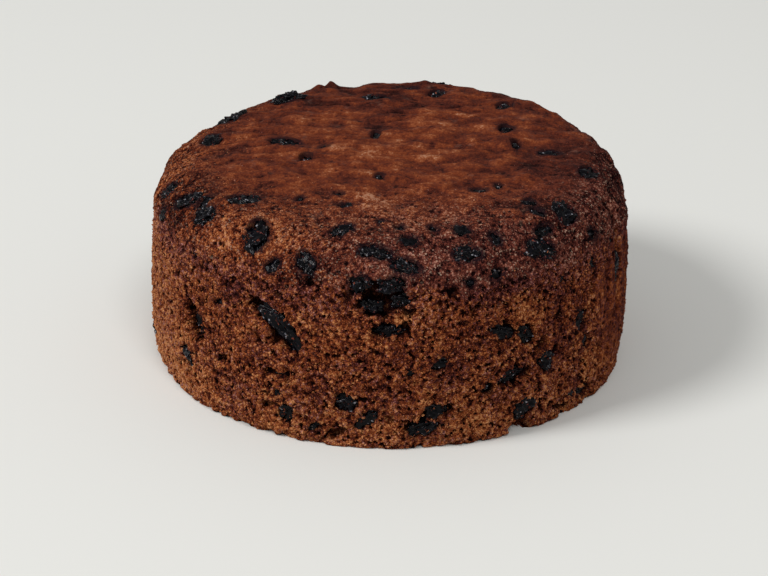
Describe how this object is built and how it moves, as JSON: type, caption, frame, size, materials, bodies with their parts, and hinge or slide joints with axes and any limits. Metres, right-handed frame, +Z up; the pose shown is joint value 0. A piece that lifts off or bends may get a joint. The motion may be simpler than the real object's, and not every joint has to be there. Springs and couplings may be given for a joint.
{
  "type": "fruit cake",
  "caption": "Round dark fruit cake, uncut, with a smooth baked top, a rounded shoulder, straight crumbly sides and raisins set in its surface.",
  "frame": {"origin": "middle of the whole cake's footprint, on the base that it stands on", "axes": "+Z up, -Y towards the viewer of the shown side, +X to the viewer's right"},
  "size_m": [0.1816, 0.1816, 0.0798],
  "materials": {
    "crumb": "baked fruit cake: matt dark brown crust on top, open moist crumb on the side",
    "raisin": "dried raisin: wrinkled, nearly black, with a soft sheen"
  },
  "bodies": {
    "root": {"cake": "crumb", "raisin_side_01": "raisin", "raisin_side_02": "raisin", "raisin_side_03": "raisin", "raisin_side_04": "raisin", "raisin_side_05": "raisin", "raisin_side_06": "raisin", "raisin_side_07": "raisin", "raisin_side_08": "raisin", "raisin_side_09": "raisin", "raisin_side_10": "raisin", "raisin_side_11": "raisin", "raisin_side_12": "raisin", "raisin_side_13": "raisin", "raisin_side_14": "raisin", "raisin_side_15": "raisin", "raisin_side_16": "raisin", "raisin_side_17": "raisin", "raisin_side_18": "raisin", "raisin_side_19": "raisin", "raisin_side_20": "raisin", "raisin_side_21": "raisin", "raisin_side_22": "raisin", "raisin_side_23": "raisin", "raisin_side_24": "raisin", "raisin_side_25": "raisin", "raisin_side_26": "raisin", "raisin_side_27": "raisin", "raisin_side_28": "raisin", "raisin_side_29": "raisin", "raisin_side_30": "raisin", "raisin_side_31": "raisin", "raisin_side_32": "raisin", "raisin_side_33": "raisin", "raisin_side_34": "raisin", "raisin_side_35": "raisin", "raisin_side_36": "raisin", "raisin_top_01": "raisin", "raisin_top_02": "raisin", "raisin_top_03": "raisin", "raisin_top_04": "raisin", "raisin_top_05": "raisin", "raisin_top_06": "raisin", "raisin_top_07": "raisin", "raisin_top_08": "raisin", "raisin_top_09": "raisin", "raisin_top_10": "raisin", "raisin_top_11": "raisin", "raisin_top_12": "raisin", "raisin_top_13": "raisin", "raisin_top_14": "raisin", "raisin_top_15": "raisin", "raisin_top_16": "raisin", "raisin_top_17": "raisin", "raisin_top_18": "raisin", "raisin_top_19": "raisin", "raisin_top_20": "raisin", "raisin_top_21": "raisin", "raisin_top_22": "raisin", "raisin_top_23": "raisin"}
  },
  "joints": []
}
